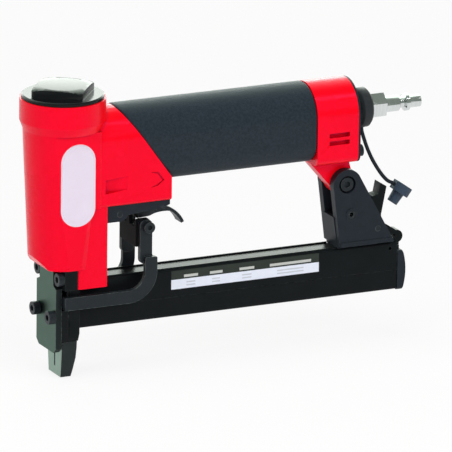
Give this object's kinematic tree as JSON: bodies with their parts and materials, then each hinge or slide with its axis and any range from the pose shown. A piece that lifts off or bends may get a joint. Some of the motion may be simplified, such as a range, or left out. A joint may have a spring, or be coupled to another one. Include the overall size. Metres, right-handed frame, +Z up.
{
  "type": "pneumatic upholstery stapler",
  "caption": "Air-driven hand stapler with a rubber-sleeved handle, nose contact safety, trigger, sliding staple magazine and rear latch; fine-wire staples for upholstery.",
  "frame": {"origin": "point on the driver axis where the staple leaves the bottom of the contact foot at rest", "axes": "+X from the nose towards the air plug, +Y across the tool to its right side, +Z up along the cylinder"},
  "size_m": [0.2238, 0.0444, 0.1534],
  "materials": {
    "red_paint": "gloss red paint",
    "black_coat": "satin black coating",
    "black_steel": "blackened steel",
    "grip_rubber": "matte textured rubber",
    "black_plastic": "moulded black plastic",
    "bright_steel": "ground steel",
    "chrome_plate": "bright plating",
    "sleeve_alloy": "turned aluminium",
    "valve_brass": "turned brass",
    "seal_rubber": "sealing rubber",
    "bumper_urethane": "amber urethane"
  },
  "bodies": {
    "tool": {"head_casting": "red_paint", "cylinder_cap": "black_coat", "cap_seal": "seal_rubber", "cylinder_sleeve": "sleeve_alloy", "sleeve_seals": "seal_rubber", "bumper": "bumper_urethane", "head_valve_spring": "bright_steel", "grip_sleeve": "grip_rubber", "handle_end": "red_paint", "handle_end_seal": "seal_rubber", "end_plate": "black_plastic", "end_plate_screws": "black_steel", "inlet_bush": "black_coat", "air_plug": "chrome_plate", "tether_ring": "black_plastic", "tether_strap": "black_plastic", "dust_plug": "black_plastic", "driver_guide": "black_steel", "front_plate": "black_steel", "front_plate_screws": "black_steel", "nose_screws": "black_steel", "safety_springs": "bright_steel", "trigger_housing": "black_plastic", "housing_screws": "black_steel", "trigger_pin": "black_steel", "valve_body": "valve_brass", "valve_spring": "bright_steel", "valve_seals": "seal_rubber", "magazine_housing": "black_coat", "rear_bracket": "black_plastic", "bracket_bolt": "black_steel", "bracket_nut": "black_steel", "bracket_pin": "black_steel", "bracket_screws": "black_steel", "latch_pin": "black_steel", "latch_spring": "bright_steel"},
    "driver": {"piston": "sleeve_alloy", "piston_ring": "seal_rubber", "driver_blade": "bright_steel", "blade_pin": "bright_steel"},
    "head_valve": {"head_valve": "black_plastic", "head_valve_seal": "seal_rubber"},
    "safety": {"contact_foot": "black_steel", "left_safety_arm": "black_steel", "right_safety_arm": "black_steel", "safety_bridge": "black_steel", "safety_screws": "black_steel"},
    "trigger": {"trigger": "black_steel", "trip_lever_pin": "bright_steel"},
    "trip_lever": {"trip_lever": "bright_steel"},
    "valve_stem": {"valve_stem": "bright_steel"},
    "rail": {"magazine_rail": "black_coat", "rail_end_cap": "black_plastic", "end_cap_screws": "black_steel", "spring_rod": "bright_steel", "pusher_spring": "bright_steel"},
    "pusher": {"pusher": "bright_steel"},
    "latch": {"latch_lever": "black_plastic"}
  },
  "joints": [
    {"name": "driver_stroke", "type": "slide", "parent": "tool", "child": "driver", "axis": [0, 0, -1], "range_m": [0, 0.0446]},
    {"name": "head_valve_lift", "type": "slide", "parent": "tool", "child": "head_valve", "axis": [0, 0, 1], "range_m": [0, 0.004], "stiffness_N_per_m": 800, "springref_m": -0.004, "deforming": ["head_valve_spring"]},
    {"name": "safety_press", "type": "slide", "parent": "tool", "child": "safety", "axis": [0, 0, 1], "range_m": [0, 0.0035], "stiffness_N_per_m": 1200, "springref_m": -0.004, "deforming": ["safety_springs"]},
    {"name": "trigger_pull", "type": "hinge", "parent": "tool", "child": "trigger", "pos_m": [0.026, 0, 0.0854], "axis": [0, -1, 0], "range_deg": [0, 6], "stiffness_Nm_per_rad": 0.3, "springref_deg": -8.59},
    {"name": "valve_stem_rise", "type": "slide", "parent": "tool", "child": "valve_stem", "axis": [0, 0, 1], "range_m": [0, 0.0016], "deforming": ["valve_spring"]},
    {"name": "trip_lever_tilt", "type": "hinge", "parent": "trigger", "child": "trip_lever", "pos_m": [0.049, 0, 0.0866], "axis": [0, 1, 0], "range_deg": [0, 5]},
    {"name": "magazine_open", "type": "slide", "parent": "tool", "child": "rail", "axis": [1, 0, 0], "range_m": [0, 0.15]},
    {"name": "pusher_feed", "type": "slide", "parent": "rail", "child": "pusher", "axis": [1, 0, 0], "range_m": [0, 0.13], "stiffness_N_per_m": 20, "springref_m": -0.05, "deforming": ["pusher_spring"]},
    {"name": "latch_press", "type": "hinge", "parent": "tool", "child": "latch", "pos_m": [0.1746, 0, 0.0596], "axis": [0, -1, 0], "range_deg": [0, 12], "stiffness_Nm_per_rad": 0.15, "springref_deg": -11.46, "deforming": ["latch_spring"]}
  ],
  "couplings": [
    {"joint": "valve_stem_rise", "follows": "trigger_pull", "m_per_rad": 0.015}
  ]
}
